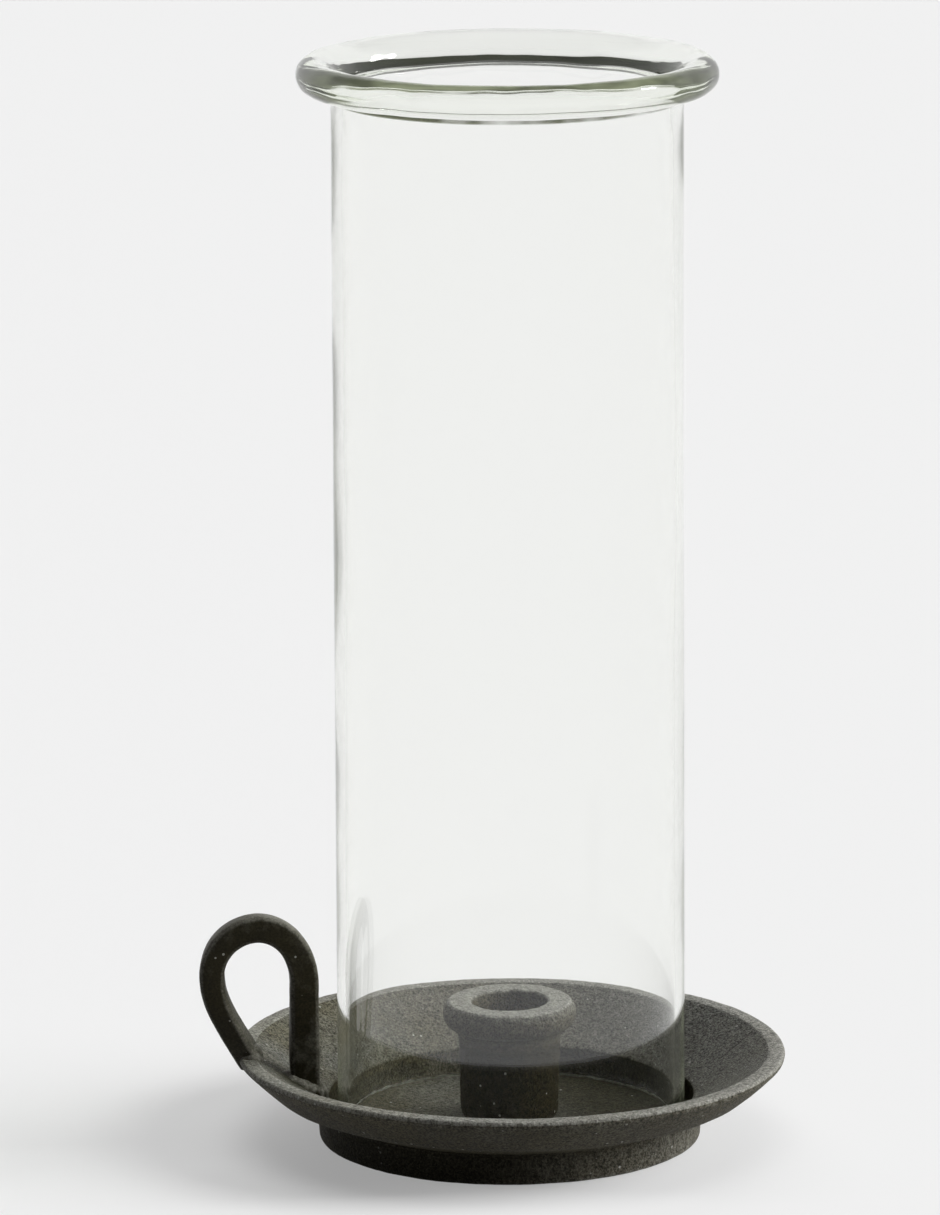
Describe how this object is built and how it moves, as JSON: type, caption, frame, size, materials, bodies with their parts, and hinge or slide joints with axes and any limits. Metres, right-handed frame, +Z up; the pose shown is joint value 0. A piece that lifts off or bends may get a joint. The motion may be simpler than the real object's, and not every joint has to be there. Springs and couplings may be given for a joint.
{
  "type": "chamberstick with glass chimney",
  "caption": "Round cast-iron candle pan with a collared candle cup, a looped bar handle and a tall loose glass chimney with a rolled rim.",
  "frame": {"origin": "centre of the base, on the surface that the chamberstick stands on", "axes": "+Z up along the axis of the pan and the chimney, -X towards the handle"},
  "size_m": [0.174, 0.1636, 0.325],
  "materials": {
    "cast_iron": "sand-cast and blackened, worn to grey along the edges",
    "bar_iron": "forged flat bar, blackened",
    "weld": "rough weld bead, blackened",
    "steel": "turned steel",
    "glass": "clear drawn glass with a fire-polished rim",
    "felt": "wool felt"
  },
  "bodies": {
    "holder": {"pan": "cast_iron", "candle_cup": "cast_iron", "cup_screw": "steel", "handle": "bar_iron", "handle_rim_weld": "weld", "handle_foot_weld": "weld", "base_pad": "felt"},
    "chimney": {"glass_chimney": "glass"}
  },
  "joints": [
    {"name": "chimney_lift", "type": "slide", "parent": "holder", "child": "chimney", "axis": [0, 0, 1], "range_m": [0, 0.27]}
  ]
}
